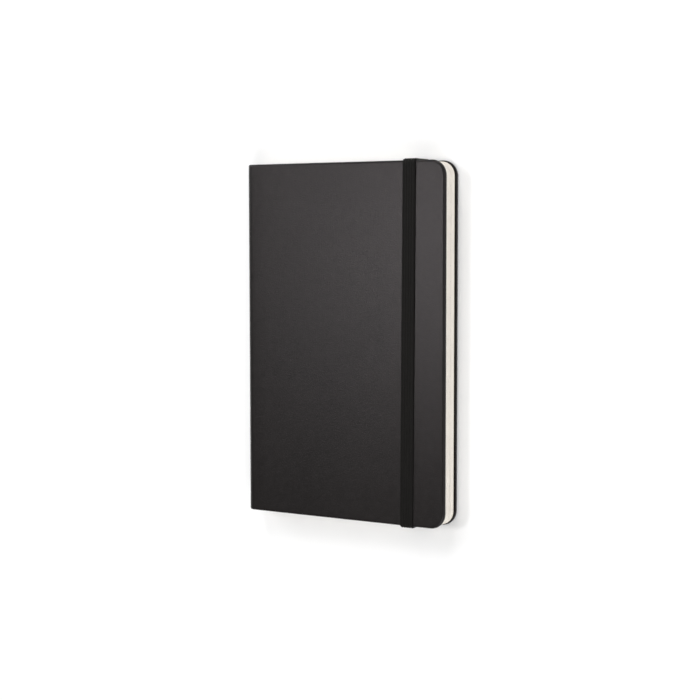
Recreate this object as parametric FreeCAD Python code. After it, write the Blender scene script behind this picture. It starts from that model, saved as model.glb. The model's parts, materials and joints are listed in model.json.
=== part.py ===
"""A hard-cover pocket notebook with an elastic closure, lying closed on its back cover.

Millimetres. The row frame has its origin at the middle of the underside: +X towards the
fore-edge, +Y towards the head and +Z up. The pieces are worked out in book coordinates, whose
x starts at the spine's outer face, and save() shifts them to the row frame.
"""

import FreeCAD, Part
import math
import os

os.makedirs("parts", exist_ok=True)

V = FreeCAD.Vector

# Outside of the closed book
WIDTH = 90.0            # spine face to fore-edge
HEIGHT = 140.0          # head to tail
THICK = 11.4            # both covers and all between them
CORNER = 6.0            # fore-edge corners of a cover
EDGE_ROUND = 0.9        # outer rim of a cover
INNER_ROUND = 0.45      # inner rim of a cover

# One cover: grained wrap, board, and endpaper pasted down inside
WRAP = 0.25
BOARD = 1.4
ENDPAPER = 0.15
TURNED_IN = 0.2         # the wrap pressed thinner where it is turned in over the board
TURN_IN = 12.0          # how far it is turned in
PASTE_INSET = 1.6       # endpaper back from the cover's edges
HINGE = 4.8             # where the stiff board starts, from the spine face
COVER = WRAP + BOARD + ENDPAPER
RIM = WRAP + BOARD      # the turned-in wrap ends level with the board

# Spine
SPINE_ROUND = 3.0       # cloth joint's outer radius along both spine edges
STIFFENER = 0.8

# Text block
SQUARE = 0.45          # pages back from the cover's edges
PAGE_CORNER = 5.5
LEAF = 0.074
LEAVES_PER_SIGNATURE = 6
SIGNATURE = LEAF * LEAVES_PER_SIGNATURE
SIGNATURES = 14
FIRST_RIGHT = 9         # signatures from this one on stay on the back cover's side
TURNING_LEAVES = 2
FOLD_ROUND = 0.18

# Pocket inside the back cover
POCKET_GAP = 0.5        # folded gussets
POCKET_CARD = 0.3
POCKET_LEFT = 11.0
POCKET_RIGHT = 86.5
POCKET_HALF = 65.0
GUSSET = 8.0
BASE_STRIP = 4.0

# Ribbon marker, in a gap of its own on the right-hand pages
RIBBON_WIDTH = 4.0
RIBBON = 0.12
RIBBON_X = 8.0
RIBBON_HEAD = 67.0
RIBBON_TAIL = -64.0
RIBBON_LIFT = 0.05

# Elastic band
BAND_WIDTH = 5.45
BAND = 0.65
BAND_X = 74.4           # middle of its width, half way down the cover
BAND_SLANT = 0.48       # degrees that it leans off the cover's long axis
BAND_GAP = 0.05         # clear of the cover's head and tail edges
BAND_REST = 0.02        # clear of the front cover's face
SLOT_Y = 58.0           # where it goes in through the back board
TAB = 11.0              # glued tab under the endpaper
SLOT_GAP = 0.2

# Sewing
THREAD = 0.3
THREAD_STEP = 25.0
THREAD_STATIONS = 5
MULL = 0.2
MULL_FROM_BLOCK = 0.4
MULL_HALF = 60.0

BACK_OF_BLOCK = COVER   # folds of the pages, as far from the spine's face as a cover is thick
POCKET_TOP = COVER + POCKET_GAP + POCKET_CARD
FRONT_FACE = THICK - COVER
TURN_AXIS_Z = THICK / 2
LEAVES_TOP = TURN_AXIS_Z + TURNING_LEAVES * LEAF
HALF = HEIGHT / 2
PAGE_HALF = HALF - SQUARE
PAGE_FORE = WIDTH - SQUARE


def save(name, shape):
    """Move one piece to the row frame and write it."""
    placed = shape.copy()
    placed.translate(V(-WIDTH / 2, 0, 0))
    print(f"{name:22s} valid={placed.isValid()} volume={placed.Volume:9.2f}")
    placed.exportStep(f"parts/{name}.step")


def box(x0, x1, y0, y1, z0, z1):
    """A block between two corners."""
    return Part.makeBox(x1 - x0, y1 - y0, z1 - z0, V(x0, y0, z0))


def slab(x0, x1, half, corner, z0, z1):
    """A flat sheet, square at the spine, with both fore-edge corners rounded."""
    k = corner * (1 - math.sqrt(0.5))
    sides = [
        Part.LineSegment(V(x0, -half, z0), V(x1 - corner, -half, z0)),
        Part.Arc(V(x1 - corner, -half, z0), V(x1 - k, k - half, z0), V(x1, corner - half, z0)),
        Part.LineSegment(V(x1, corner - half, z0), V(x1, half - corner, z0)),
        Part.Arc(V(x1, half - corner, z0), V(x1 - k, half - k, z0), V(x1 - corner, half, z0)),
        Part.LineSegment(V(x1 - corner, half, z0), V(x0, half, z0)),
        Part.LineSegment(V(x0, half, z0), V(x0, -half, z0)),
    ]
    wire = Part.Wire([side.toShape() for side in sides])
    return Part.Face(wire).extrude(V(0, 0, z1 - z0))


def prism(points, half_x):
    """A strip across the cover: a profile in Y and Z, drawn out along X about x = 0."""
    corners = [V(-half_x, y, z) for y, z in points]
    wire = Part.makePolygon(corners + corners[:1])
    return Part.Face(wire).extrude(V(2 * half_x, 0, 0))


def flipped(shape):
    """The back cover's piece turned over to the front cover's place."""
    return shape.mirror(V(0, 0, THICK / 2), V(0, 0, 1))


def rim_edges(solid, z, spine_x):
    """The edges round one face of a cover, all but the one along the spine."""
    found = []
    for edge in solid.Edges:
        level = all(abs(v.Z - z) < 1e-6 for v in edge.Vertexes)
        at_spine = all(abs(v.X - spine_x) < 1e-6 for v in edge.Vertexes)
        if level and not at_spine:
            found.append(edge)
    return found


def cover_core(inset, top):
    """A cover's stiff body, set in by inset from its outer skin."""
    core = slab(HINGE, WIDTH - inset, HALF - inset, CORNER - inset, inset, top)
    core = core.makeFillet(EDGE_ROUND - inset, rim_edges(core, inset, HINGE))
    inner = INNER_ROUND if inset == 0 else INNER_ROUND - TURNED_IN
    return core.makeFillet(inner, rim_edges(core, top, HINGE))


def board_platform():
    """The middle of the board, level with the turned-in wrap round it."""
    return slab(HINGE, WIDTH - TURN_IN, HALF - TURN_IN, CORNER, RIM - TURNED_IN, RIM)


def cover_board():
    return cover_core(WRAP, RIM - TURNED_IN).fuse(board_platform()).removeSplitter()


def cover_wrap():
    """The grained skin round the board's face and three edges, turned in over its inside."""
    return cover_core(0, RIM).cut(cover_core(WRAP, RIM - TURNED_IN)).cut(board_platform())


def pastedown():
    inset = PASTE_INSET
    return slab(HINGE, WIDTH - inset, HALF - inset, CORNER - inset / 2, RIM, COVER)


def across_cover(strip):
    """Lay a strip drawn about x = 0 on the elastic's line, which leans a little."""
    strip.rotate(V(0, 0, 0), V(0, 0, 1), -BAND_SLANT)
    strip.translate(V(BAND_X, 0, 0))
    return strip


def anchor_profile(side, gap):
    """The elastic's fixed end: along the back, in through its slot, and flat under the endpaper."""
    outer = HALF + BAND_GAP + BAND
    tab_end = SLOT_Y - TAB - gap
    tab_low = RIM - BAND
    points = [
        (outer + gap, -gap), (outer + gap, BAND), (SLOT_Y + BAND + gap, BAND),
        (SLOT_Y + BAND + gap, RIM + gap), (tab_end, RIM + gap), (tab_end, tab_low - gap / 2),
        (SLOT_Y - gap, tab_low - gap / 2), (SLOT_Y - gap, -gap),
    ]
    return [(side * y, z) for y, z in points]


def anchor(side):
    return across_cover(prism(anchor_profile(side, 0.0), BAND_WIDTH / 2))


def cut_for_anchors(shape):
    """Open the back cover's groove, slot and tab recess at head and tail."""
    for side in (1, -1):
        profile = anchor_profile(side, SLOT_GAP)
        shape = shape.cut(across_cover(prism(profile, BAND_WIDTH / 2 + SLOT_GAP)))
    return shape


def elastic_band():
    """One strand over the front cover, with a leg down past the head and the tail."""
    inner_y = HALF + BAND_GAP
    inner_z = THICK + BAND_REST
    half_x = BAND_WIDTH / 2
    outside = box(-half_x, half_x, -inner_y - BAND, inner_y + BAND, BAND, inner_z + BAND)
    inside = box(-half_x - 1, half_x + 1, -inner_y, inner_y, 0, inner_z)
    outside = rounded_along_x(outside, inner_z + BAND, EDGE_ROUND + BAND)
    inside = rounded_along_x(inside, inner_z, EDGE_ROUND)
    return across_cover(outside.cut(inside))


def rounded_along_x(block, z, radius):
    """Round a block's two upper edges that run along X."""
    edges = []
    for edge in block.Edges:
        ends = edge.Vertexes
        if all(abs(v.Z - z) < 1e-6 for v in ends) and abs(ends[0].Y - ends[1].Y) < 1e-6:
            edges.append(edge)
    return block.makeFillet(radius, edges)


def hinge_cloth():
    """The wrap's own strip between the spine and the back board, round the spine's edge."""
    outer = SPINE_ROUND
    inner = SPINE_ROUND - WRAP
    k_out = outer * (1 - math.sqrt(0.5))
    k_in = outer - inner * math.sqrt(0.5)
    sides = [
        Part.Arc(V(0, -HALF, outer), V(k_out, -HALF, k_out), V(outer, -HALF, 0)),
        Part.LineSegment(V(outer, -HALF, 0), V(HINGE, -HALF, 0)),
        Part.LineSegment(V(HINGE, -HALF, 0), V(HINGE, -HALF, WRAP)),
        Part.LineSegment(V(HINGE, -HALF, WRAP), V(outer, -HALF, WRAP)),
        Part.Arc(V(outer, -HALF, WRAP), V(k_in, -HALF, k_in), V(WRAP, -HALF, outer)),
        Part.LineSegment(V(WRAP, -HALF, outer), V(0, -HALF, outer)),
    ]
    wire = Part.Wire([side.toShape() for side in sides])
    return Part.Face(wire).extrude(V(0, HEIGHT, 0))


def spine_stiffener():
    half = HALF - WRAP
    return box(WRAP, WRAP + STIFFENER, -half, half, SPINE_ROUND, THICK - SPINE_ROUND)


def spine_wrap():
    """The wrap over the spine strip, turned in at head and tail."""
    whole = box(0, WRAP + STIFFENER, -HALF, HALF, SPINE_ROUND, THICK - SPINE_ROUND)
    return whole.cut(spine_stiffener())


def pages(z0, z1):
    """One folded signature, with its fold rounded along the spine."""
    block = slab(BACK_OF_BLOCK, PAGE_FORE, PAGE_HALF, PAGE_CORNER, z0, z1)
    fold = []
    for edge in block.Edges:
        ends = edge.Vertexes
        if all(abs(v.X - BACK_OF_BLOCK) < 1e-6 for v in ends) and edge.Length > HALF:
            fold.append(edge)
    return block.makeFillet(FOLD_ROUND, fold)


def leaf(z0, z1):
    return slab(BACK_OF_BLOCK, PAGE_FORE, PAGE_HALF, PAGE_CORNER, z0, z1)


def sewing_thread():
    """The stitches that show along the folds, one run at each sewing station."""
    low = POCKET_TOP + ENDPAPER
    high = LEAVES_TOP + (FIRST_RIGHT - 1) * SIGNATURE
    x = BACK_OF_BLOCK - THREAD / 2
    first = -THREAD_STEP * (THREAD_STATIONS - 1) / 2
    runs = []
    for i in range(THREAD_STATIONS):
        foot = V(x, first + i * THREAD_STEP, low)
        runs.append(Part.makeCylinder(THREAD / 2, high - low, foot))
    return Part.makeCompound(runs)


def spine_mull():
    """The gauze glued over the stitches."""
    x = BACK_OF_BLOCK - MULL_FROM_BLOCK
    return box(x - MULL, x, -MULL_HALF, MULL_HALF, POCKET_TOP, FRONT_FACE - LEAF)


def ribbon_marker():
    z = POCKET_TOP + ENDPAPER + (SIGNATURES - FIRST_RIGHT + 1) * SIGNATURE + RIBBON_LIFT
    half = RIBBON_WIDTH / 2
    return box(RIBBON_X - half, RIBBON_X + half, RIBBON_TAIL, RIBBON_HEAD, z, z + RIBBON)


def pocket_panel():
    low = COVER + POCKET_GAP
    return slab(POCKET_LEFT, POCKET_RIGHT, POCKET_HALF, PAGE_CORNER, low, low + POCKET_CARD)


def pocket_gusset(x0):
    """One folded cloth gusset, flat under the pocket's long side."""
    low = -POCKET_HALF + BASE_STRIP
    return box(x0, x0 + GUSSET, low, POCKET_HALF - PAGE_CORNER, COVER, COVER + POCKET_GAP)


def pocket_base_strip():
    """The cloth fold that joins the pocket to the cover along the tail."""
    left = POCKET_LEFT
    right = POCKET_RIGHT - PAGE_CORNER
    return box(left, right, -POCKET_HALF, -POCKET_HALF + BASE_STRIP, COVER, COVER + POCKET_GAP)


def write_back_cover():
    save("back_board", cut_for_anchors(cover_board()))
    save("back_cover_wrap", cut_for_anchors(cover_wrap()))
    save("back_pastedown", pastedown())
    save("back_hinge_cloth", hinge_cloth())
    save("elastic_anchor_head", anchor(1))
    save("elastic_anchor_tail", anchor(-1))


def write_front_cover():
    save("front_board", flipped(cover_board()))
    save("front_cover_wrap", flipped(cover_wrap()))
    save("front_pastedown", flipped(pastedown()))
    save("front_hinge_cloth", flipped(hinge_cloth()))
    save("elastic_band", elastic_band())


def write_spine():
    save("spine_stiffener", spine_stiffener())
    save("spine_wrap", spine_wrap())


def write_pocket():
    save("pocket_panel", pocket_panel())
    save("pocket_gusset_spine", pocket_gusset(POCKET_LEFT))
    save("pocket_gusset_fore", pocket_gusset(POCKET_RIGHT - GUSSET))
    save("pocket_base_strip", pocket_base_strip())


def write_text_block():
    """Signature 01 lies under the front cover and the last one over the back cover."""
    save("back_flyleaf", leaf(POCKET_TOP, POCKET_TOP + ENDPAPER))
    for number in range(SIGNATURES, 0, -1):
        if number >= FIRST_RIGHT:
            low = POCKET_TOP + ENDPAPER + (SIGNATURES - number) * SIGNATURE
        else:
            low = LEAVES_TOP + (FIRST_RIGHT - 1 - number) * SIGNATURE
        save(f"signature_{number:02d}", pages(low, low + SIGNATURE))
    for i in range(TURNING_LEAVES):
        low = TURN_AXIS_Z + i * LEAF
        save(f"turning_leaf_{i + 1}", leaf(low, low + LEAF))
    top = LEAVES_TOP + (FIRST_RIGHT - 1) * SIGNATURE
    save("front_flyleaf", leaf(top, top + ENDPAPER))
    save("sewing_thread", sewing_thread())
    save("spine_mull", spine_mull())
    save("ribbon_marker", ribbon_marker())


write_back_cover()
write_pocket()
write_text_block()
write_spine()
write_front_cover()
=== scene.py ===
"""Looks of a hard-cover pocket notebook with an elastic closure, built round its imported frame."""

import json
import math
import random

import bpy
from mathutils import Matrix, Vector


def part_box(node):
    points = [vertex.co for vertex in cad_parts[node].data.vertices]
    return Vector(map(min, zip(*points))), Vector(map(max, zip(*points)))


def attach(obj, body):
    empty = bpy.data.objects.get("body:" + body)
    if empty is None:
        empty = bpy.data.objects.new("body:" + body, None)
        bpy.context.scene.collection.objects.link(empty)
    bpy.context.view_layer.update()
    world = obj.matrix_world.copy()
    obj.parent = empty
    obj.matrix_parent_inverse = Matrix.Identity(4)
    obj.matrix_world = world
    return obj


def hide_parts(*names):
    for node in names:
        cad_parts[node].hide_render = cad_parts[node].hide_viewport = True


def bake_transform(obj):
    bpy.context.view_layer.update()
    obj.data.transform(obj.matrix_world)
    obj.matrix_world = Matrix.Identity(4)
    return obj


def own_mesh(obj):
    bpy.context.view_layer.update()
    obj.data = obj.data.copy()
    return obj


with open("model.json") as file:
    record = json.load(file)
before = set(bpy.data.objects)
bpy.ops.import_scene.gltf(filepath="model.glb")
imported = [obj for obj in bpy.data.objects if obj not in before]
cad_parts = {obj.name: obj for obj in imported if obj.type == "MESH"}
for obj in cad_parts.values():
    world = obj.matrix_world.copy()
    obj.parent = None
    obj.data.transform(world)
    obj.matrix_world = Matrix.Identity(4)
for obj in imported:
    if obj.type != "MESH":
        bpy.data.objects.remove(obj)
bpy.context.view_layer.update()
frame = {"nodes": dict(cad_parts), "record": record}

MM = 0.001
SEED = 41

# Places taken from the frame, in metres
FRONT_LO, FRONT_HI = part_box("front_cover_wrap")
HINGE_LO, HINGE_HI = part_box("front_hinge_cloth")
PASTE_LO, PASTE_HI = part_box("back_pastedown")
PAGES_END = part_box("signature_01")[1].x
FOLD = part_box("turning_leaf_1")[0]
LEFT_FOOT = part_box("signature_08")[0].z
RIGHT_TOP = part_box("signature_09")[1].z
TOP = FRONT_HI.z
HALF = FRONT_HI.y
FORE = FRONT_HI.x
SPINE = HINGE_LO.x
SPINE_ROUND = HINGE_HI.z - HINGE_LO.z
FLAT_START = SPINE + SPINE_ROUND

# Wrap of the cover. The back seam is in from the spine's face and up from the underside, and the
# front bend is the share of the spine's rounded edge over which the front skin bends.
WRAP = 0.25 * MM
CORNER = 6.0 * MM
RIM_ROUND = 0.9 * MM
INNER_ROUND = 0.4 * MM
COVER_DEPTH = TOP - FRONT_LO.z
SPINE_DEPTH = 1.25 * MM
BACK_JOINT_DEPTH = 0.7 * MM
LAP = 5.4 * MM
SLOT_INSET = 12.0 * MM
GROOVE_PLAY = 0.05 * MM
GROOVE_DEPTH = 0.68 * MM
CUTTER_EXCESS = 1.0 * MM

# Sections along the wrap
FACE_STEPS = 4
SPINE_STEPS = 16
FLAT_STEPS = 12
CORNER_STEPS = 14
FORE_STEPS = 8

# Text block. The gauze sink is how far below the back endpaper's face a foot for the gauze is set,
# though nothing moves the gauze to it.
LEAVES_PER_SIGNATURE = 6
LEAF_PLAY = 0.05 * MM
LEAF_COLUMNS = 26
PAGE_CORNER = 5.5 * MM
RULE_STEP = 6.0 * MM
RULE_SHARE = 0.035
RULE_MARGIN = 1.5 * MM
THREAD_STATIONS = 5
THREAD_SIDES = 12
GAUZE_SINK = 0.25 * MM

# Elastic. The slot rise is how far its ends turn up into their slots, in half thicknesses.
RIBS = 5
RIB_HEIGHT = 0.13 * MM
BAND_WIDTH = 5.45 * MM
BAND_PLAY = 0.02 * MM
BAND_BEND = 1.2 * MM
BAND_STEP = 0.8 * MM
SLOT_RISE = 3.2

# Ribbon and pocket
RIBBON_ROWS = 130
RIBBON_COLUMNS = 8
RIBBON_WAVE = 0.02 * MM
RIBBON_HALF_THICK = 0.04 * MM
RIBBON_POINT = 1.5 * MM
POCKET_CLOTH_THICK = 0.1 * MM
GUSSET_ROWS = 24

# Camera and stage
LENS = 79.5
SENSOR = 36.0
CAMERA_FROM = Vector((310.5, 41.6, 527.8)) * MM
CAMERA_TO = Vector((-3.1, -3.9, 0.0)) * MM
CAMERA_ROLL = math.radians(-0.06)
CLIP_START = 0.01
FLOOR_HALF = 0.6
HORIZON_TONE = 1.0
OVERHEAD_TONE = 0.1

# Name, place and size in metres, and power in watts
SOFT_BOXES = (
    ("gloss_light_low", (-0.50, 0.0, 1.1), 0.15, 1.5),
    ("gloss_light_high", (-0.45, 0.12, 1.1), 0.15, 1.6),
    ("left_light", (-0.9, 0.5, 0.7), 0.6, 5.0),
    ("back_light", (0.0, 0.8, 0.6), 0.5, 4.2),
    ("right_light", (0.8, 0.1, 0.7), 0.7, 2.4),
    ("front_light", (0.4, -0.7, 0.8), 0.6, 5.8),
)

rng = random.Random(SEED)


# ---------------------------------------------------------------- mesh helpers

def add_piece(name, verts, faces, material, slot, smooth=35.0):
    """A mesh object from vertices and faces, smooth where its faces meet gently."""
    mesh = bpy.data.meshes.new(name)
    mesh.from_pydata([tuple(v) for v in verts], [], faces)
    mesh.validate()
    mesh.materials.append(material)
    mesh.polygons.foreach_set("use_smooth", [True] * len(mesh.polygons))
    mesh.set_sharp_from_angle(angle=math.radians(smooth))
    piece = bpy.data.objects.new(name, mesh)
    bpy.context.scene.collection.objects.link(piece)
    return piece


def outward(verts, faces):
    """Turn a closed shell's faces outwards, by the sign of the volume that they hold."""
    volume = 0.0
    for face in faces:
        a = Vector(verts[face[0]])
        for i in range(1, len(face) - 1):
            b = Vector(verts[face[i]])
            c = Vector(verts[face[i + 1]])
            volume += a.dot(b.cross(c))
    if volume < 0:
        return [tuple(reversed(face)) for face in faces]
    return faces


def box_shell(lo, hi):
    """A closed box from its low corner to its high one."""
    verts = [Vector((x, y, z))
             for z in (lo[2], hi[2]) for y in (lo[1], hi[1]) for x in (lo[0], hi[0])]
    faces = [(0, 2, 3, 1), (4, 5, 7, 6), (0, 1, 5, 4), (2, 6, 7, 3), (0, 4, 6, 2), (1, 3, 7, 5)]
    return verts, outward(verts, faces)


def prism(first, last):
    """A closed shell between two matching rings of points."""
    count = len(first)
    verts = first + last
    faces = [tuple(range(count)), tuple(reversed(range(count, 2 * count)))]
    for i in range(count):
        j = (i + 1) % count
        faces.append((i, i + count, j + count, j))
    return verts, outward(verts, faces)


def slab_shell(points, z0, z1):
    """A flat closed sheet over an outline in X and Y."""
    return prism(*([Vector((x, y, z)) for x, y in points] for z in (z0, z1)))


def strip_shell(section, half):
    """A closed strip from the tail to the head, with a section in X and Z."""
    return prism(*([Vector((x, y, z)) for x, z in section] for y in (-half, half)))


def joined(parts):
    """Several shells as one mesh's vertices and faces."""
    verts, faces = [], []
    for part_verts, part_faces in parts:
        base = len(verts)
        verts += part_verts
        faces += [tuple(base + i for i in face) for face in part_faces]
    return verts, faces


def arc_steps(count):
    """Angles from 0 to a right angle, ends included."""
    return [0.5 * math.pi * i / count for i in range(count + 1)]


# ---------------------------------------------------------------- materials

class Nodes:
    """A material's node tree, with short calls for the nodes used here."""

    def __init__(self, name):
        self.material = bpy.data.materials.new(name)
        self.material.use_nodes = True
        self.tree = self.material.node_tree
        self.shader = self.tree.nodes["Principled BSDF"]
        self.place = self.tree.nodes.new("ShaderNodeTexCoord").outputs["Object"]

    def link(self, source, target):
        self.tree.links.new(source, target)

    def scaled(self, scale):
        """The object's coordinates, scaled by axis."""
        mapping = self.tree.nodes.new("ShaderNodeMapping")
        mapping.inputs["Scale"].default_value = scale
        self.link(self.place, mapping.inputs["Vector"])
        return mapping.outputs["Vector"]

    def noise(self, scale, detail=4.0, rough=0.55, vector=None):
        node = self.tree.nodes.new("ShaderNodeTexNoise")
        node.inputs["Scale"].default_value = scale
        node.inputs["Detail"].default_value = detail
        node.inputs["Roughness"].default_value = rough
        self.link(vector or self.place, node.inputs["Vector"])
        return node.outputs["Fac"]

    def cells(self, scale, vector):
        """Soft-edged cells, by the distance to the nearest one's centre."""
        node = self.tree.nodes.new("ShaderNodeTexVoronoi")
        node.feature = "SMOOTH_F1"
        node.inputs["Scale"].default_value = scale
        self.link(vector, node.inputs["Vector"])
        return node.outputs["Distance"]

    def wave(self, scale, direction, distortion):
        node = self.tree.nodes.new("ShaderNodeTexWave")
        node.bands_direction = direction
        node.inputs["Scale"].default_value = scale
        node.inputs["Distortion"].default_value = distortion
        self.link(self.place, node.inputs["Vector"])
        return node.outputs["Fac"]

    def math(self, operation, a, b):
        """One arithmetic step on two values, each a number or another node's output."""
        node = self.tree.nodes.new("ShaderNodeMath")
        node.operation = operation
        for socket, value in zip(node.inputs, (a, b)):
            if isinstance(value, (int, float)):
                socket.default_value = value
            else:
                self.link(value, socket)
        return node.outputs["Value"]

    def ramp(self, factor, stops):
        """A colour by a factor, between two stops of position and colour."""
        node = self.tree.nodes.new("ShaderNodeValToRGB")
        ramp = node.color_ramp
        for element, (position, colour) in zip(ramp.elements, stops):
            element.position = position
            element.color = (*colour, 1.0)
        self.link(factor, node.inputs["Fac"])
        return node.outputs["Color"]

    def mixed(self, factor, first, second):
        """The first colour, turned into a plain second one by a factor."""
        node = self.tree.nodes.new("ShaderNodeMix")
        node.data_type = "RGBA"
        self.link(factor, node.inputs[0])
        self.link(first, node.inputs[6])
        node.inputs[7].default_value = (*second, 1.0)
        return node.outputs[2]

    def span(self, factor, low, high):
        """A factor from 0 to 1 moved to a range."""
        node = self.tree.nodes.new("ShaderNodeMapRange")
        node.inputs["To Min"].default_value = low
        node.inputs["To Max"].default_value = high
        self.link(factor, node.inputs["Value"])
        return node.outputs["Result"]

    def bump(self, height, distance, strength=1.0, normal=None):
        node = self.tree.nodes.new("ShaderNodeBump")
        node.inputs["Strength"].default_value = strength
        node.inputs["Distance"].default_value = distance
        self.link(height, node.inputs["Height"])
        if normal:
            self.link(normal, node.inputs["Normal"])
        return node.outputs["Normal"]

    def finish(self, colour, roughness, normal, **values):
        """Link the shader's main inputs, set its others by name, and give the material."""
        self.link(colour, self.shader.inputs["Base Color"])
        self.link(roughness, self.shader.inputs["Roughness"])
        self.link(normal, self.shader.inputs["Normal"])
        for socket, value in values.items():
            self.shader.inputs[socket.replace("_", " ")].default_value = value
        return self.material


def leatherette():
    """Satin black leatherette: fine pebbled grain, its shade and gloss a little uneven."""
    n = Nodes("cover_leatherette")
    pebble = n.cells(2600.0, n.scaled((1.0, 0.8, 1.0)))
    pores = n.noise(5200.0, 3.0, 0.6)
    mottle = n.noise(420.0, 5.0, 0.6)
    drift = n.noise(38.0, 2.0, 0.5)
    grain = n.math("ADD", pebble, n.math("MULTIPLY", pores, 0.45))
    shade = n.math("ADD", n.math("MULTIPLY", mottle, 0.6), n.math("MULTIPLY", drift, 0.4))
    colour = n.ramp(shade, [(0.3, (0.0066, 0.0058, 0.0056)), (0.7, (0.0108, 0.0096, 0.0092))])
    wear = n.math("ADD", n.math("MULTIPLY", mottle, 0.5), n.math("MULTIPLY", pores, 0.5))
    roughness = n.span(wear, 0.27, 0.37)
    soft = n.bump(mottle, 0.03 * MM, 0.6)
    normal = n.bump(grain, 0.035 * MM, 0.9, soft)
    return n.finish(colour, roughness, normal, Specular_IOR_Level=0.22,
                    Specular_Tint=(1.0, 0.93, 0.95, 1.0))


def page_paper(name, single):
    """Ivory writing paper: matte, faintly fibrous, its edges a little uneven from the knife."""
    n = Nodes(name)
    fibre = n.noise(900.0, 5.0, 0.65, n.scaled((1.0, 0.35, 6.0)))
    cloud = n.noise(60.0, 3.0, 0.5)
    edge = n.noise(1.0, 4.0, 0.7, n.scaled((90.0, 30.0, 9000.0)))
    tone = n.math("ADD", n.math("MULTIPLY", fibre, 0.35), n.math("MULTIPLY", cloud, 0.25))
    tone = n.math("ADD", tone, n.math("MULTIPLY", edge, 0.4))
    colour = n.ramp(tone, [(0.25, (0.82, 0.77, 0.70)), (0.75, (0.94, 0.90, 0.84))])
    # Rules, and painted shade on the flat faces
    colour = ruled_lines(n, colour, single)
    roughness = n.span(fibre, 0.78, 0.95)
    normal = n.bump(n.math("ADD", fibre, edge), 0.012 * MM, 0.6)
    return n.finish(colour, roughness, normal, Specular_IOR_Level=0.25)


def ruled_lines(n, colour, single):
    """Thin grey rules across the page's faces, and painted shade that makes those faces a little
    darker than its edges.

    A single leaf bends, so that its faces have no fixed direction: it is ruled and given the
    painted shade all over.
    """
    split = n.tree.nodes.new("ShaderNodeSeparateXYZ")
    n.link(n.place, split.inputs["Vector"])
    steps = n.math("DIVIDE", n.math("ADD", split.outputs["Y"], 10 * RULE_STEP), RULE_STEP)
    line = n.math("LESS_THAN", n.math("FRACT", steps, 0.0), RULE_SHARE)
    faces_ruled_and_shaded = 1.0
    if not single:
        facing = n.tree.nodes.new("ShaderNodeSeparateXYZ")
        n.link(n.tree.nodes.new("ShaderNodeTexCoord").outputs["Normal"], facing.inputs["Vector"])
        faces_ruled_and_shaded = n.math("GREATER_THAN", n.math("ABSOLUTE", facing.outputs["Z"], 0.0), 0.9)
        inside = n.math("LESS_THAN", split.outputs["X"], PAGES_END - RULE_MARGIN)
        line = n.math("MULTIPLY", line, inside)
    # Painted shade: the flat faces are mixed three tenths of the way to a dull dark tan, and the
    # edges stay as they are
    colour = n.mixed(n.math("MULTIPLY", faces_ruled_and_shaded, 0.3), colour, (0.52, 0.49, 0.43))
    return n.mixed(n.math("MULTIPLY", line, faces_ruled_and_shaded), colour, (0.30, 0.31, 0.33))


def endpaper():
    """Heavier ivory paper, smoother than the pages."""
    n = Nodes("endpaper_stock")
    fibre = n.noise(700.0, 5.0, 0.65)
    cloud = n.noise(45.0, 3.0, 0.5)
    tone = n.math("ADD", n.math("MULTIPLY", fibre, 0.45), n.math("MULTIPLY", cloud, 0.55))
    colour = n.ramp(tone, [(0.3, (0.70, 0.65, 0.56)), (0.7, (0.82, 0.78, 0.68))])
    return n.finish(colour, n.span(fibre, 0.7, 0.88), n.bump(fibre, 0.01 * MM, 0.5),
                    Specular_IOR_Level=0.3)


def grey_board():
    """Binder's board: pressed grey fibre in thin layers."""
    n = Nodes("binders_board")
    fibre = n.noise(1500.0, 6.0, 0.7)
    layers = n.wave(900.0, "Z", 3.0)
    tone = n.math("ADD", n.math("MULTIPLY", fibre, 0.7), n.math("MULTIPLY", layers, 0.3))
    colour = n.ramp(tone, [(0.3, (0.20, 0.18, 0.16)), (0.7, (0.38, 0.35, 0.32))])
    return n.finish(colour, n.span(fibre, 0.8, 0.95), n.bump(tone, 0.05 * MM, 0.7))


def woven(name, dark, light, pitch, sheen, rough):
    """A plain weave of two thread directions, at a pitch in metres."""
    n = Nodes(name)
    scale = 1.0 / (pitch * math.tau / 20)
    warp = n.wave(scale, "X", 0.4)
    weft = n.wave(scale, "Y", 0.4)
    depth = n.wave(scale, "Z", 0.4)
    thread = n.math("MAXIMUM", n.math("MULTIPLY", warp, weft), n.math("MULTIPLY", depth, 0.5))
    fuzz = n.noise(4000.0, 3.0, 0.7)
    tone = n.math("ADD", n.math("MULTIPLY", thread, 0.65), n.math("MULTIPLY", fuzz, 0.35))
    colour = n.ramp(tone, [(0.15, dark), (0.85, light)])
    return n.finish(colour, n.span(fuzz, rough, min(1.0, rough + 0.15)),
                    n.bump(tone, 0.05 * MM, 0.8), Sheen_Weight=sheen)


def elastic_knit():
    """Matte black knitted elastic: cross stitches over its ribs, with a little fuzz."""
    n = Nodes("elastic_knit")
    stitch = n.wave(620.0, "Y", 1.2)
    rise = n.wave(620.0, "Z", 1.2)
    fuzz = n.noise(5000.0, 4.0, 0.7)
    slub = n.noise(240.0, 3.0, 0.6, n.scaled((8.0, 0.4, 1.0)))
    cross = n.math("MULTIPLY", n.math("MAXIMUM", stitch, rise), 0.4)
    tone = n.math("ADD", cross, n.math("MULTIPLY", fuzz, 0.35))
    tone = n.math("ADD", tone, n.math("MULTIPLY", slub, 0.25))
    colour = n.ramp(tone, [(0.25, (0.0014, 0.0013, 0.0012)), (0.8, (0.0085, 0.0078, 0.0070))])
    return n.finish(colour, n.span(fuzz, 0.5, 0.65), n.bump(tone, 0.05 * MM, 0.9),
                    Specular_IOR_Level=0.10)


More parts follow.
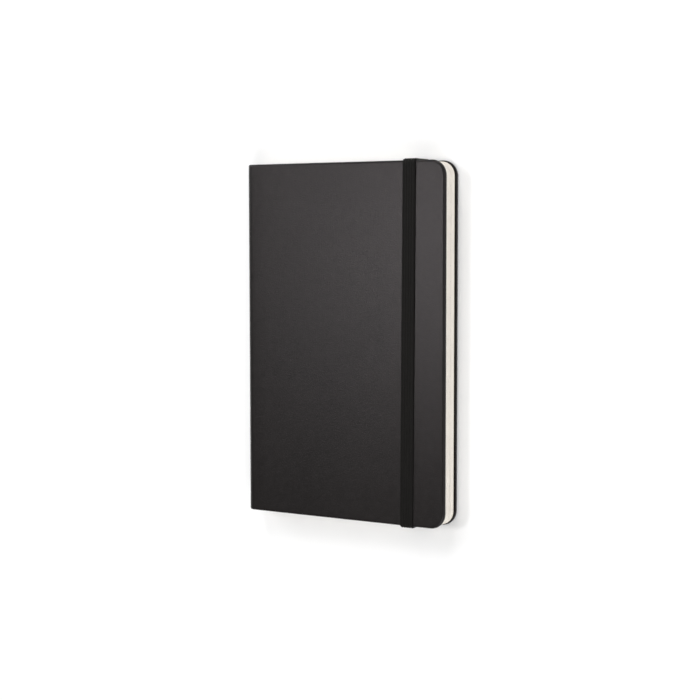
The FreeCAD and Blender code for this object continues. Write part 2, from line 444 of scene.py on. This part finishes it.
def satin_ribbon():
    """Black satin ribbon: long floats along it, cross cords at its edges."""
    n = Nodes("ribbon_satin")
    floats = n.noise(1.0, 3.0, 0.6, n.scaled((9000.0, 260.0, 9000.0)))
    cords = n.wave(900.0, "Y", 0.5)
    tone = n.math("ADD", n.math("MULTIPLY", floats, 0.7), n.math("MULTIPLY", cords, 0.3))
    colour = n.ramp(tone, [(0.2, (0.008, 0.008, 0.009)), (0.8, (0.026, 0.026, 0.029))])
    return n.finish(colour, n.span(floats, 0.38, 0.55), n.bump(tone, 0.02 * MM, 0.7),
                    Sheen_Weight=0.3, Anisotropic=0.5)


LEATHERETTE = leatherette()
BOUND_PAGES = page_paper("ruled_pages", False)
SINGLE_LEAF = page_paper("ruled_leaf", True)
ENDPAPER = endpaper()
BOARD = grey_board()
POCKET_CLOTH = woven("pocket_cloth", (0.008, 0.008, 0.008), (0.035, 0.034, 0.033),
                     0.35 * MM, 0.2, 0.8)
GAUZE = woven("mull_gauze", (0.38, 0.35, 0.29), (0.78, 0.75, 0.67), 0.8 * MM, 0.1, 0.85)
THREAD = woven("linen_thread", (0.60, 0.57, 0.50), (0.86, 0.84, 0.78), 0.3 * MM, 0.2, 0.75)
ELASTIC = elastic_knit()
SATIN = satin_ribbon()


# ---------------------------------------------------------------- the cover's wrap

def wrap_section(depth):
    """The wrap's section over a rim: pairs of inset from the edge and drop from the face.

    It runs from the face over the rim to the end of the turned-in lap, then back along the
    wrap's other side, so that the whole skin is a closed shell.
    """
    rim = RIM_ROUND * min(1.0, depth / COVER_DEPTH)
    inner = INNER_ROUND
    section = [(LAP, 0.0), (0.6 * LAP, 0.0), (1.3 * rim, 0.0)]
    section += [(rim * (1 - math.sin(a)), rim * (1 - math.cos(a))) for a in arc_steps(8)]
    section += [(inner * (1 - math.cos(a)), depth - inner * (1 - math.sin(a)))
                for a in arc_steps(4)]
    section += [(0.5 * LAP, depth), (LAP, depth), (LAP, depth - 0.8 * WRAP)]
    inside = rim - WRAP
    section += [(inner + WRAP, depth - 0.8 * WRAP), (WRAP, depth - WRAP - 0.5 * inner)]
    section += [(WRAP + inside * (1 - math.cos(a)), rim - inside * math.sin(a))
                for a in arc_steps(4)]
    section += [(LAP, WRAP)]
    return section


def station(base, inward, up, depth):
    """One section of the wrap, from its edge point and its directions inwards and outwards."""
    return [base + inward * inset - up * drop for inset, drop in wrap_section(depth)]


def spine_stations(first, last, count, near):
    """Sections round the spine's rounded edge at the head, by angle from the spine's face.

    At the spine's face the wrap's depth is near, and it deepens only close to the cover's flat.
    """
    rows = []
    for i in range(count + 1):
        t = first + (last - first) * i / count
        up = Vector((-math.cos(t), 0, math.sin(t)))
        base = Vector((FLAT_START, HALF, TOP - SPINE_ROUND)) + up * SPINE_ROUND
        share = (t / (0.5 * math.pi)) ** 3
        depth = near + (COVER_DEPTH - near) * share
        rows.append(station(base, Vector((0, -1, 0)), up, depth))
    return rows


def flat_stations():
    """Sections along the head edge of the cover's flat, after the spine's last, to the corner."""
    rows = []
    for i in range(1, FLAT_STEPS + 1):
        x = FLAT_START + (FORE - CORNER - FLAT_START) * i / FLAT_STEPS
        base = Vector((x, HALF, TOP))
        rows.append(station(base, Vector((0, -1, 0)), Vector((0, 0, 1)), COVER_DEPTH))
    return rows


def spine_face_stations():
    """Sections up the flat of the spine's face at the head."""
    rows = []
    for i in range(FACE_STEPS):
        z = SPINE_ROUND + (TOP - SPINE_ROUND - SPINE_ROUND) * i / FACE_STEPS
        base = Vector((SPINE, HALF, z))
        rows.append(station(base, Vector((0, -1, 0)), Vector((-1, 0, 0)), SPINE_DEPTH))
    return rows


def fore_stations():
    """Sections round the head corner and down the fore-edge to its middle."""
    rows = []
    up = Vector((0, 0, 1))
    for a in arc_steps(CORNER_STEPS)[1:]:
        out = Vector((math.sin(a), math.cos(a), 0))
        base = Vector((FORE - CORNER, HALF - CORNER, TOP)) + out * CORNER
        rows.append(station(base, -out, up, COVER_DEPTH))
    for i in range(1, FORE_STEPS + 1):
        y = (HALF - CORNER) * (1 - i / FORE_STEPS)
        rows.append(station(Vector((FORE, y, TOP)), Vector((-1, 0, 0)), up, COVER_DEPTH))
    return rows


def mirrored(rows):
    """The tail's sections for the head's."""
    return [[Vector((p.x, -p.y, p.z)) for p in row] for row in rows]


def shell(rows, flats, closed_far_end):
    """Vertices and faces of a wrap from its sections, given head first and tail last.

    The first and last flats sections are joined straight across the cover. With closed_far_end
    the sections run on round the fore-edge; without, the strip ends at both sides.
    """
    size = len(rows[0])
    count = len(rows)
    verts = [p for row in rows for p in row]
    faces = []
    gap = None if closed_far_end else flats - 1
    for i in range(count - 1):
        if i == gap:
            continue
        for k in range(size - 1):
            a = i * size + k
            faces.append((a, a + size, a + size + 1, a + 1))
    for k, order in ((0, 1), (size - 1, -1)):
        for i in range(flats - 1):
            j = count - 1 - i
            corners = [row * size + k for row in (i, j, j - 1, i + 1)]
            faces.append(tuple(corners[::order]))
        if closed_far_end:
            rim = [row * size + k for row in range(flats - 1, count - flats + 1)]
            faces.append(tuple(rim[::-order]))
    faces.append(end_cap(0, count - 1, size))
    if not closed_far_end:
        faces.append(end_cap(flats - 1, flats, size)[::-1])
    return verts, outward(verts, faces)


def end_cap(head, tail, size):
    """The face that closes a wrap's cut end, from the head's section to the tail's."""
    near = [head * size + k for k in range(size)]
    far = [tail * size + k for k in reversed(range(size))]
    return tuple(near + far)


def turned_over(verts, faces):
    """A front cover's shell moved to the back cover."""
    return [Vector((v.x, v.y, TOP - v.z)) for v in verts], [tuple(reversed(f)) for f in faces]


def cover_rows(head):
    """The sections all round a cover, from those of its head half."""
    return head + mirrored(head[:-1])[::-1]


def front_skin():
    """One skin over the spine's face, its rounded edge and the whole front cover."""
    head = spine_face_stations() + spine_stations(0, 0.5 * math.pi, SPINE_STEPS, SPINE_DEPTH)
    head += flat_stations()
    flats = len(head)
    verts, faces = shell(cover_rows(head + fore_stations()), flats, True)
    piece = add_piece("front_skin", verts, faces, LEATHERETTE, "cover")
    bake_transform(piece)
    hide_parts("front_cover_wrap", "front_hinge_cloth", "spine_wrap")


def back_skin():
    """The back cover's skin, as far as half way round the spine's edge."""
    head = spine_stations(0.25 * math.pi, 0.5 * math.pi, SPINE_STEPS // 2, BACK_JOINT_DEPTH)
    head += flat_stations()
    flats = len(head)
    verts, faces = turned_over(*shell(cover_rows(head + fore_stations()), flats, True))
    piece = add_piece("back_skin", verts, faces, LEATHERETTE, "cover")
    cut_grooves(piece)
    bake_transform(piece)
    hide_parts("back_cover_wrap", "back_hinge_cloth")


def cut_grooves(piece):
    """Cut the grooves that the elastic's ends lie in out of the back skin."""
    cutters = []
    for node in ("elastic_anchor_head", "elastic_anchor_tail"):
        lo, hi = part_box(node)
        near, far = HALF - SLOT_INSET, HALF + CUTTER_EXCESS
        if hi.y < near:
            near, far = -far, -near
        verts, faces = box_shell((lo.x - GROOVE_PLAY, near, -CUTTER_EXCESS),
                                 (hi.x + GROOVE_PLAY, far, GROOVE_DEPTH))
        mesh = bpy.data.meshes.new("groove_cutter")
        mesh.from_pydata([tuple(v) for v in verts], [], faces)
        cutter = bpy.data.objects.new("groove_cutter", mesh)
        bpy.context.scene.collection.objects.link(cutter)
        cutters.append(cutter)
        cut = piece.modifiers.new("groove", "BOOLEAN")
        cut.operation = "DIFFERENCE"
        cut.solver = "EXACT"
        cut.object = cutter
    graph = bpy.context.evaluated_depsgraph_get()
    mesh = bpy.data.meshes.new_from_object(piece.evaluated_get(graph))
    piece.modifiers.clear()
    piece.data = mesh
    for cutter in cutters:
        bpy.data.objects.remove(cutter)


def back_joint_skin():
    """The strip of skin between the back skin and the spine's face."""
    head = spine_stations(0, 0.25 * math.pi, SPINE_STEPS // 2, BACK_JOINT_DEPTH)
    verts, faces = turned_over(*shell(head + mirrored(head)[::-1], len(head), False))
    piece = add_piece("back_joint_skin", verts, faces, LEATHERETTE, "cover")
    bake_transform(piece)


# ---------------------------------------------------------------- text block

def outline(x0, x1, half):
    """A leaf's outline, square at the spine and rounded at the fore-edge."""
    points = [(x0, half)]
    points += [(x1 - PAGE_CORNER * (1 - math.sin(a)), half - PAGE_CORNER * (1 - math.cos(a)))
               for a in arc_steps(8)]
    return points + [(x, -y) for x, y in reversed(points)]


def fold_shell(x0, z0, z1, half):
    """The rounded fold along a signature's spine."""
    radius = 0.5 * (z1 - z0)
    section = [(x0 + radius * (1 - math.sin(t)), z0 + radius * (1 - math.cos(t)))
               for t in [math.pi * i / 8 for i in range(9)]]
    section += [(x0 + 4 * radius, z1), (x0 + 4 * radius, z0)]
    return strip_shell(section, half)


def signature(node, body):
    """Three folded sheets: six leaves with slightly uneven edges, and the fold at the spine."""
    lo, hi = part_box(node)
    leaf = (hi.z - lo.z) / LEAVES_PER_SIGNATURE
    fold = 0.5 * (hi.z - lo.z)
    shared = rng.uniform(-1.2, 0.0) * LEAF_PLAY
    parts = [fold_shell(lo.x, lo.z, hi.z, hi.y)]
    for i in range(LEAVES_PER_SIGNATURE):
        play = shared + rng.uniform(-1.0, 0.0) * LEAF_PLAY
        ends = hi.y + shared + rng.uniform(-1.0, 0.0) * LEAF_PLAY
        z = lo.z + i * leaf
        points = outline(lo.x + 1.2 * fold, hi.x + play, ends)
        parts.append(slab_shell(points, z + 0.04 * leaf, z + 0.96 * leaf))
    piece = add_piece(f"{node}_leaves", *joined(parts), BOUND_PAGES, "page")
    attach(piece, body)
    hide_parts(node)


def turning_leaf(node):
    """One leaf that turns apart from the others and curves out of the gutter."""
    lo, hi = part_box(node)
    clear = 0.05 * (hi.z - lo.z)
    verts, faces = [], []
    for z in (lo.z + clear, hi.z - clear):
        for i in range(LEAF_COLUMNS + 1):
            x = lo.x + (hi.x - PAGE_CORNER - lo.x) * (i / LEAF_COLUMNS) ** 1.4
            verts += [Vector((x, hi.y, z)), Vector((x, -hi.y, z))]
        for a in arc_steps(8)[1:]:
            x = hi.x - PAGE_CORNER * (1 - math.sin(a))
            y = hi.y - PAGE_CORNER * (1 - math.cos(a))
            verts += [Vector((x, y, z)), Vector((x, -y, z))]
    count = len(verts) // 2
    for k in range(0, count - 2, 2):
        faces.append((k, k + 1, k + 3, k + 2))
        faces.append((k + count + 2, k + count + 3, k + count + 1, k + count))
        for side in (0, 1):
            a, b = k + side, k + 2 + side
            edge = (a, b, b + count, a + count)
            faces.append(edge if side == 0 else edge[::-1])
    faces.append((0, count, count + 1, 1))
    faces.append((count - 2, count - 1, 2 * count - 1, 2 * count - 2))
    piece = add_piece(f"{node}_paper", verts, outward(verts, faces), SINGLE_LEAF, "page")
    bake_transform(piece)
    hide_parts(node)


def endpaper_joint():
    """The endpaper's bend between the back cover's pastedown and the back flyleaf."""
    fly_lo, fly_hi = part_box("back_flyleaf")
    thick = PASTE_HI.z - PASTE_LO.z
    steps = 10
    section = []
    for i in range(steps + 1):
        s = i / steps
        x = PASTE_LO.x + (fly_lo.x - PASTE_LO.x) * s
        z = PASTE_HI.z + (fly_lo.z - PASTE_HI.z) * s * s
        section.append((x, z))
    section += [(x, z - 0.5 * thick) for x, z in reversed(section)]
    shape = strip_shell(section, fly_hi.y)
    piece = add_piece("back_endpaper_joint", *shape, ENDPAPER, "endpaper")
    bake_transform(piece)


# ---------------------------------------------------------------- elastic, ribbon, pocket

def rounded_path(points, radii, step):
    """A path in Y and Z through points, with its corners rounded, in even short steps."""
    path = [points[0]]
    for i in range(1, len(points) - 1):
        before, here, after = (Vector(points[j]) for j in (i - 1, i, i + 1))
        into = (here - before).normalized()
        out = (after - here).normalized()
        radius = radii[i - 1]
        first = here - into * radius
        centre = first + out * radius
        for a in arc_steps(6):
            path.append(tuple(centre - out * radius * math.cos(a) + into * radius * math.sin(a)))
    path.append(points[-1])
    fine = []
    for a, b in zip(path, path[1:]):
        length = math.dist(a, b)
        count = max(1, round(length / step))
        for i in range(count):
            s = i / count
            fine.append((a[0] + (b[0] - a[0]) * s, a[1] + (b[1] - a[1]) * s))
    return fine + [path[-1]]


def band_section(width, thick):
    """The elastic's section: ribs along both faces and rounded selvedges."""
    across = 8 * RIBS
    face = []
    for i in range(across + 1):
        s = i / across
        rib = RIB_HEIGHT * 0.5 * (1 - math.cos(math.tau * RIBS * s))
        edge = min(1.0, 6.0 * min(s, 1 - s) + 0.45)
        face.append((width * (s - 0.5), edge * (0.5 * thick - RIB_HEIGHT) + rib))
    return face + [(w, -h) for w, h in reversed(face)]


def elastic_closure():
    """The whole elastic: one knitted band from its slot at the head to its slot at the tail."""
    head_lo, head_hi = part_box("elastic_anchor_head")
    tail_lo, tail_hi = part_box("elastic_anchor_tail")
    band_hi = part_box("elastic_band")[1]
    head_x = 0.5 * (head_lo.x + head_hi.x)
    tail_x = 0.5 * (tail_lo.x + tail_hi.x)
    thick = band_hi.z - TOP - BAND_PLAY
    low = 0.5 * thick
    outer = band_hi.y - low
    upper = band_hi.z - low
    slot_y = HALF - SLOT_INSET + low
    points = [(slot_y, SLOT_RISE * low), (slot_y, low), (outer, low), (outer, upper)]
    points += [(-y, z) for y, z in reversed(points)]
    path = rounded_path(points, [low, low, BAND_BEND, BAND_BEND, low, low], BAND_STEP)
    section = band_section(BAND_WIDTH, thick)
    count = len(section)
    verts, faces = [], []
    for i, (y, z) in enumerate(path):
        before = Vector(path[max(0, i - 1)])
        after = Vector(path[min(len(path) - 1, i + 1)])
        along = (after - before).normalized()
        out = Vector((-along.y, along.x))
        middle = tail_x + (head_x - tail_x) * (y + HALF) / (2 * HALF)
        for w, h in section:
            verts.append(Vector((middle + w, y + out.x * h, z + out.y * h)))
    for i in range(len(path) - 1):
        for k in range(count):
            a = i * count + k
            b = i * count + (k + 1) % count
            faces.append((a, b, b + count, a + count))
    faces.append(tuple(reversed(range(count))))
    faces.append(tuple(range((len(path) - 1) * count, len(path) * count)))
    piece = add_piece("elastic_closure", verts, outward(verts, faces), ELASTIC, "elastic", 50.0)
    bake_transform(piece)
    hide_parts("elastic_band", "elastic_anchor_head", "elastic_anchor_tail")


def mull():
    """The gauze on the back of the pages, in halves that ride on the two sides of the open pages.
    """
    lo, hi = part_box("spine_mull")
    right = add_piece("mull_right", *box_shell(lo, (hi.x, hi.y, RIGHT_TOP)), GAUZE, "mull")
    left = add_piece("mull_left", *box_shell((lo.x, lo.y, LEFT_FOOT), hi), GAUZE, "mull")
    hinge_halves(right, left, "spine_mull")


def thread():
    """The stitches along the folds, halved like the gauze."""
    lo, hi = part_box("sewing_thread")
    radius = 0.5 * (hi.x - lo.x)
    centre = 0.5 * (lo.x + hi.x)
    step = (hi.y - lo.y - 2 * radius) / (THREAD_STATIONS - 1)
    halves = []
    for name, low, high in (("thread_right", lo.z, RIGHT_TOP), ("thread_left", LEFT_FOOT, hi.z)):
        parts = []
        for i in range(THREAD_STATIONS):
            y = lo.y + radius + i * step
            ring = [(centre + 0.96 * radius * math.cos(a), y + radius * math.sin(a))
                    for a in (math.tau * k / THREAD_SIDES for k in range(THREAD_SIDES))]
            parts.append(slab_shell(ring, low, high))
        halves.append(add_piece(name, *joined(parts), THREAD, "thread"))
    hinge_halves(*halves, "sewing_thread")


def hinge_halves(right, left, node):
    """Put a node's halves on the two sides of the open pages, each with a mesh of its own; the foot
    below the gutter is worked out but not used.
    """
    foot = PASTE_HI.z - GAUZE_SINK
    for piece, body, z in ((right, "text_block", foot), (left, "left_pages", 2 * FOLD.z - foot)):
        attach(piece, body)
        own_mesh(piece)
        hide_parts(node)


def ribbon():
    """The satin marker, lying in gentle waves between two pages."""
    lo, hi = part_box("ribbon_marker")
    rows, across = RIBBON_ROWS, RIBBON_COLUMNS
    middle = 0.5 * (lo.z + hi.z)
    verts, faces = [], []
    for side in (-1, 1):
        for i in range(rows + 1):
            s = i / rows
            y = hi.y + (lo.y - hi.y) * s
            for k in range(across + 1):
                t = k / across
                x = lo.x + (hi.x - lo.x) * t
                curl = RIBBON_WAVE * math.sin(9 * s + 2 * t)
                point = RIBBON_POINT * (1 - abs(2 * t - 1)) if i == rows else 0.0
                verts.append(Vector((x, y + point, middle + curl + side * RIBBON_HALF_THICK)))
    layer = (rows + 1) * (across + 1)
    line = across + 1
    for i in range(rows):
        for k in range(across):
            a = i * line + k
            faces.append((a, a + 1, a + line + 1, a + line))
            faces.append((a + layer, a + layer + line, a + layer + line + 1, a + layer + 1))
        for k, order in ((0, 1), (across, -1)):
            a = i * line + k
            faces.append((a, a + line, a + line + layer, a + layer)[::order])
    for i, order in ((0, -1), (rows, 1)):
        for k in range(across):
            a = i * line + k
            faces.append((a, a + 1, a + 1 + layer, a + layer)[::order])
    piece = add_piece("ribbon_satin_strip", verts, outward(verts, faces), SATIN, "ribbon")
    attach(piece, "ribbon")
    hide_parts("ribbon_marker")


def gusset(node, turn):
    """A cloth gusset: folded flat under the pocket, and opened out as the pocket opens."""
    lo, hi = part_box(node)
    depth = hi.x - lo.x
    outer = lo.x if turn > 0 else hi.x
    cloth = POCKET_CLOTH_THICK
    middle = 0.5 * (lo.z + hi.z)
    centre = [(0.0, lo.z + 0.5 * cloth), (0.5, 0.5 * (lo.z + middle)), (0.96, middle),
              (0.5, 0.5 * (hi.z + middle)), (0.0, hi.z - 0.5 * cloth)]
    under = [(s * depth, z - 0.5 * cloth) for s, z in centre]
    over = [(s * depth, z + 0.5 * cloth) for s, z in centre]
    under[2] = (depth, middle)
    over[2] = (0.9 * depth, middle)
    section = under[:3] + over[3:] + under[3:][::-1] + [over[2]] + over[:2][::-1]
    count = len(section)
    rows = GUSSET_ROWS
    verts = []
    for i in range(rows + 1):
        y = lo.y + (hi.y - lo.y) * i / rows
        verts += [Vector((outer + turn * dx, y, z)) for dx, z in section]
    faces = [tuple(range(count)), tuple(reversed(range(rows * count, (rows + 1) * count)))]
    for i in range(rows):
        for k in range(count):
            a = i * count + k
            b = i * count + (k + 1) % count
            faces.append((a, a + count, b + count, b))
    piece = add_piece(f"{node}_cloth", verts, outward(verts, faces), POCKET_CLOTH, "cloth")
    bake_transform(piece)
    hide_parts(node)


def dress(material, *names):
    """Give carried-over CAD nodes their material."""
    for name in names:
        mesh = frame["nodes"][name].data
        mesh.materials.clear()
        mesh.materials.append(material)


# ---------------------------------------------------------------- stage

def studio():
    """A pale floor, two small lights mirrored in the cover, and broad ones for floor and pages."""
    mesh = bpy.data.meshes.new("floor")
    corners = [(x * FLOOR_HALF, y * FLOOR_HALF, 0) for x, y in ((-1, -1), (1, -1), (1, 1), (-1, 1))]
    mesh.from_pydata(corners, [], [(0, 1, 2, 3)])
    floor = bpy.data.objects.new("floor", mesh)
    bpy.context.scene.collection.objects.link(floor)
    material = bpy.data.materials.new("floor_white")
    material.use_nodes = True
    shader = material.node_tree.nodes["Principled BSDF"]
    shader.inputs["Base Color"].default_value = (0.96, 0.96, 0.96, 1)
    shader.inputs["Roughness"].default_value = 0.9
    shader.inputs["Specular IOR Level"].default_value = 0.1
    mesh.materials.append(material)

    sky()
    for name, place, size, power in SOFT_BOXES:
        soft_box(name, place, size, power)


def sky():
    """A surround that is white at the horizon and dim above, where the cover mirrors it."""
    world = bpy.data.worlds.new("studio_world")
    world.use_nodes = True
    tree = world.node_tree
    height = tree.nodes.new("ShaderNodeSeparateXYZ")
    direction = tree.nodes.new("ShaderNodeTexCoord").outputs["Generated"]
    tree.links.new(direction, height.inputs["Vector"])
    fade = tree.nodes.new("ShaderNodeValToRGB")
    stops = ((0.1, HORIZON_TONE), (0.4, OVERHEAD_TONE))
    for element, (position, tone) in zip(fade.color_ramp.elements, stops):
        element.position = position
        element.color = (tone, tone, tone, 1)
    tree.links.new(height.outputs["Z"], fade.inputs["Fac"])
    tree.links.new(fade.outputs["Color"], tree.nodes["Background"].inputs["Color"])
    tree.nodes["Background"].inputs["Strength"].default_value = 1.0
    bpy.context.scene.world = world


def soft_box(name, place, size, power):
    """A square area light that faces the notebook."""
    light = bpy.data.lights.new(name, "AREA")
    light.size = size
    light.energy = power
    lamp = bpy.data.objects.new(name, light)
    lamp.location = place
    lamp.rotation_euler = (Vector((0, 0, 0)) - Vector(place)).to_track_quat("-Z", "Y").to_euler()
    bpy.context.scene.collection.objects.link(lamp)


def camera():
    """The camera looks down on the cover with the head up and the fore-edge towards it."""
    data = bpy.data.cameras.new("camera")
    data.lens = LENS
    data.sensor_width = SENSOR
    data.clip_start = CLIP_START
    eye = bpy.data.objects.new("camera", data)
    back = (CAMERA_FROM - CAMERA_TO).normalized()
    right = Vector((0, 1, 0)).cross(back).normalized()
    up = back.cross(right)
    turn = Matrix((right, up, back)).transposed().to_4x4()
    eye.matrix_world = Matrix.Translation(CAMERA_FROM) @ turn @ Matrix.Rotation(CAMERA_ROLL, 4, "Z")
    bpy.context.scene.collection.objects.link(eye)
    bpy.context.scene.camera = eye


camera()
studio()
front_skin()
back_skin()
back_joint_skin()
for body, nodes in frame["record"]["behaviour"]["bodies"].items():
    for node in nodes:
        if node.startswith("signature_"):
            signature(node, body)
        if node.startswith("turning_leaf_"):
            turning_leaf(node)
endpaper_joint()
elastic_closure()
mull()
thread()
ribbon()
gusset("pocket_gusset_spine", 1)
gusset("pocket_gusset_fore", -1)
dress(BOARD, "front_board", "back_board", "spine_stiffener")
dress(ENDPAPER, "front_pastedown", "back_pastedown", "front_flyleaf", "back_flyleaf",
      "pocket_panel")
dress(POCKET_CLOTH, "pocket_base_strip")

scene = bpy.context.scene
scene.view_settings.view_transform = "Standard"
scene.view_settings.look = "None"
